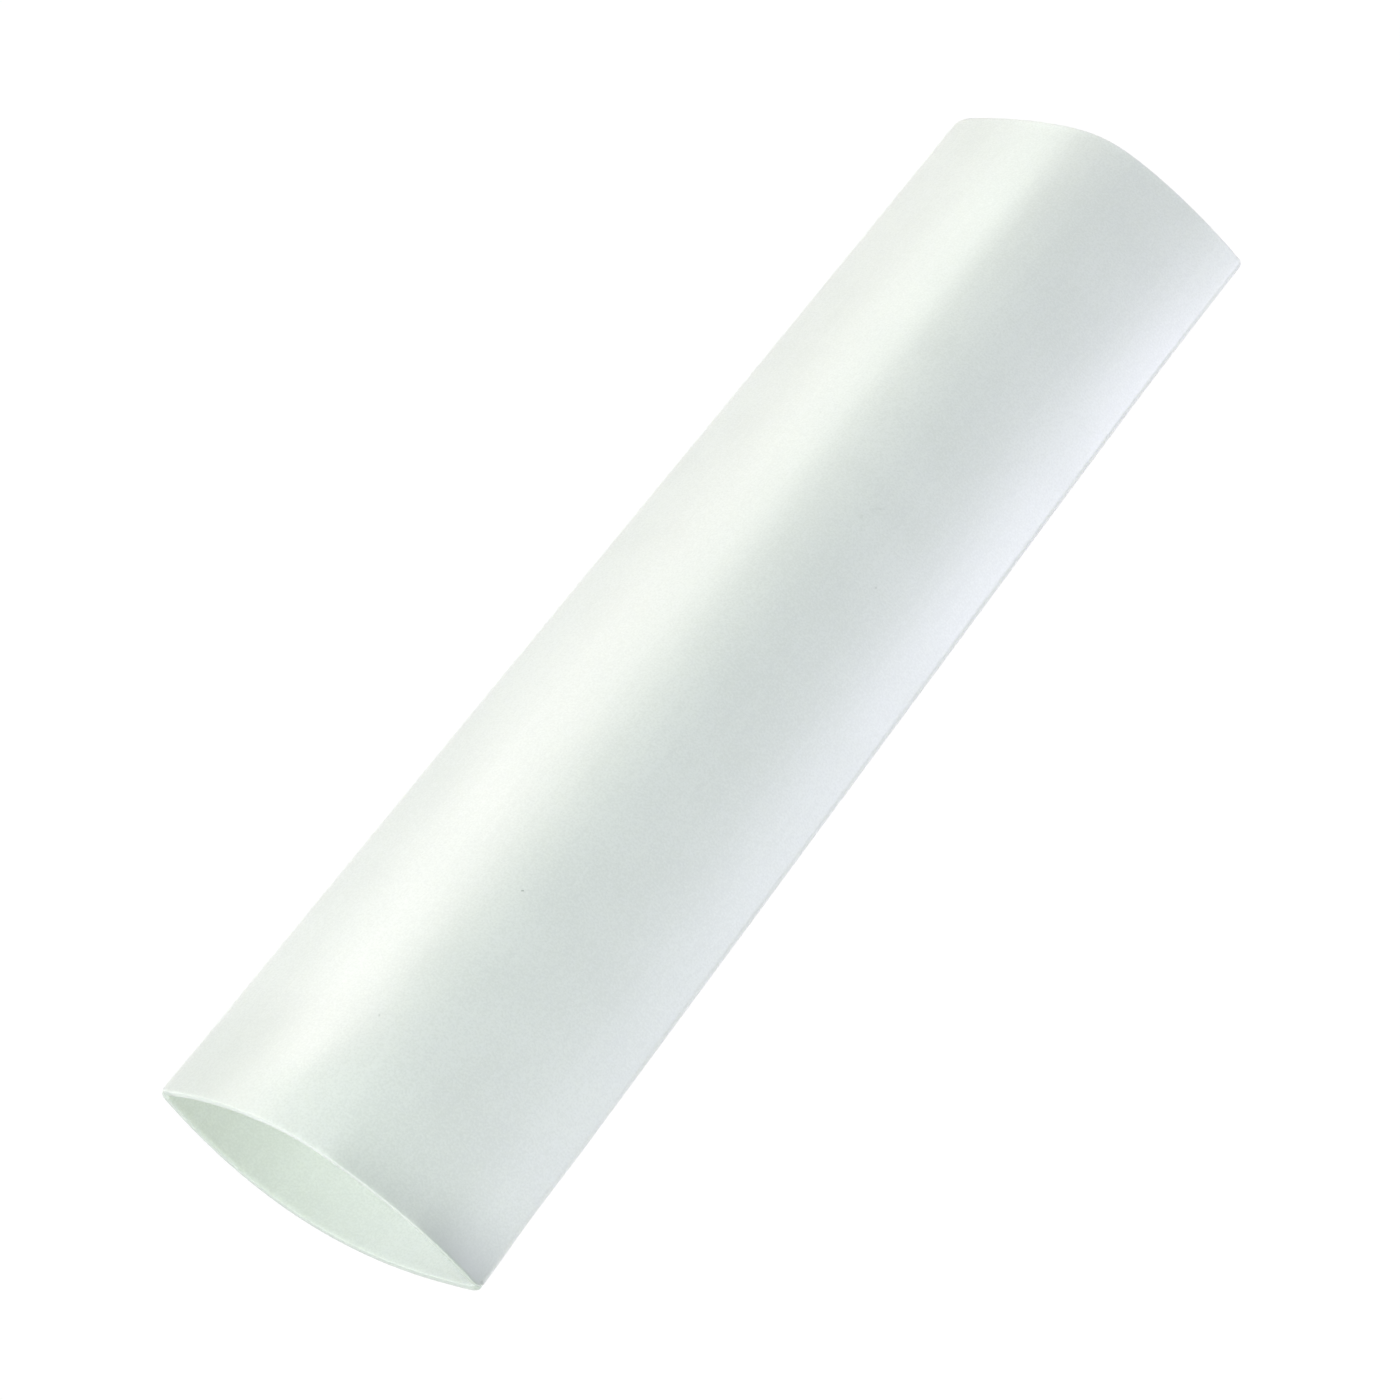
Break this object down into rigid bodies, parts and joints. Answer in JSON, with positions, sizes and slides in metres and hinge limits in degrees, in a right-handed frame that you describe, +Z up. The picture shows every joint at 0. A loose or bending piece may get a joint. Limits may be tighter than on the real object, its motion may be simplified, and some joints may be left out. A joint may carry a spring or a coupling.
{
  "type": "heat shrink tube",
  "caption": "Cut length of thin-walled white heat shrink tube, sprung half open, with a fold along each side and a soft ridge along the top.",
  "frame": {"origin": "on the floor under the middle of the tube, centred between its two cut ends and its two fold lines", "axes": "+Y along the tube from its wider mouth to its flatter one, +X across it to one fold line, +Z up"},
  "size_m": [0.0374, 0.1524, 0.0179],
  "materials": {
    "white_polyolefin": "satin white, faintly grained"
  },
  "bodies": {
    "root": {"heat_shrink_tube": "white_polyolefin"}
  },
  "joints": []
}
